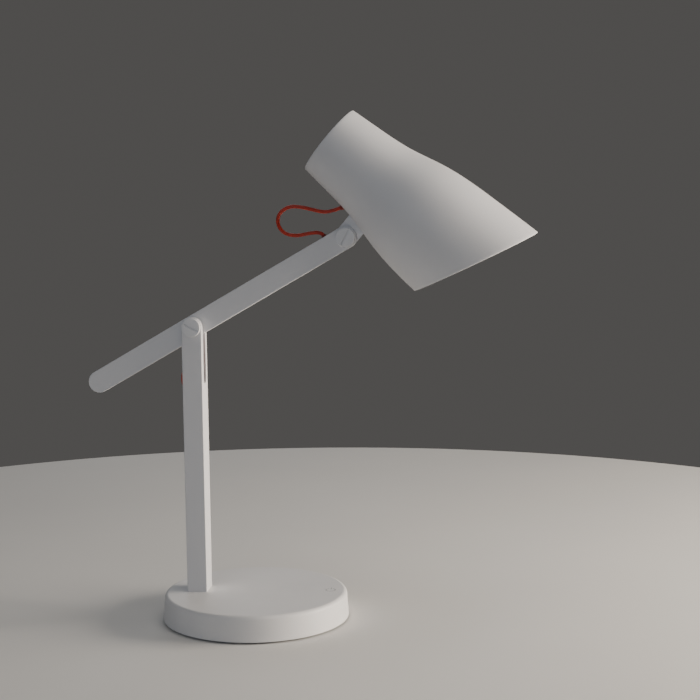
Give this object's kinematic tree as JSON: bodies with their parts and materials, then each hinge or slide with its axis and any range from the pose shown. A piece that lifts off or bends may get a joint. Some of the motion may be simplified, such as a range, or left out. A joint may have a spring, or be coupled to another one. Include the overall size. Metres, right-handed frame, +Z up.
{
  "type": "architect desk lamp",
  "caption": "Desk lamp with a weighted round base, forked post, pivoting flat arm, tilting slant-cut shade and a red lead looped across the joints.",
  "frame": {"origin": "on the table, under the centre of the round base", "axes": "+Z up, +X from the post towards the shade; the arm and shade move in the XZ plane and the hinge pins lie along Y"},
  "size_m": [0.4316, 0.18, 0.4861],
  "materials": {
    "white_shell": "fine satin moulded finish",
    "white_paint": "matte powder coat, cool white",
    "white_cap": "satin powder coat",
    "steel": "zinc plated",
    "iron": "machined casting",
    "foot_rubber": "matte",
    "red_cord": "satin silicone sheath",
    "black_lead": "satin",
    "grommet": "matte",
    "nylon": "natural",
    "brass": "turned",
    "aluminium": "die cast",
    "board": "solder mask",
    "led": "phosphor",
    "reflector": "vacuum metallised white",
    "opal": "opal diffuser",
    "module_plastic": "matte",
    "socket_plastic": "satin black",
    "mark": "printed grey"
  },
  "bodies": {
    "base": {"base_cover": "white_shell", "touch_symbol": "mark", "base_plate": "steel", "foot_ring": "foot_rubber", "ballast_weight": "iron", "base_plate_screws": "steel", "ballast_screws": "steel", "post_screws": "steel", "control_board": "board", "board_screws": "steel", "touch_electrode": "brass", "dc_socket": "socket_plastic", "socket_nut": "steel", "post": "white_paint", "post_lead": "red_cord", "inlet_lead": "black_lead", "elbow_screw": "white_cap", "elbow_cap_nut": "white_cap", "elbow_cord": "red_cord"},
    "arm": {"arm": "white_paint", "arm_cover": "white_paint", "arm_cover_screws": "steel", "elbow_bush": "brass", "elbow_washers": "nylon", "head_screw": "white_cap", "head_cap_nut": "white_cap", "elbow_grommet": "grommet", "arm_grommet": "grommet", "arm_lead": "red_cord", "head_cord": "red_cord"},
    "head": {"head_bracket": "white_paint", "head_washers": "nylon", "shade": "white_paint", "rear_cap": "white_paint", "shade_spider": "aluminium", "bracket_screws": "steel", "heat_sink": "aluminium", "led_board": "board", "leds": "led", "reflector": "reflector", "module_screws": "steel", "diffuser": "opal", "diffuser_ring": "module_plastic", "shade_grommet": "grommet", "shade_lead": "red_cord"}
  },
  "joints": [
    {"name": "elbow", "type": "hinge", "parent": "base", "child": "arm", "pos_m": [-0.056, 0, 0.284], "axis": [0, -1, 0], "range_deg": [-40, 35], "deforming": ["elbow_cord"]},
    {"name": "head_tilt", "type": "hinge", "parent": "arm", "child": "head", "pos_m": [0.09196, 0, 0.36853], "axis": [0, -1, 0], "range_deg": [-50, 45], "deforming": ["head_cord"]}
  ]
}
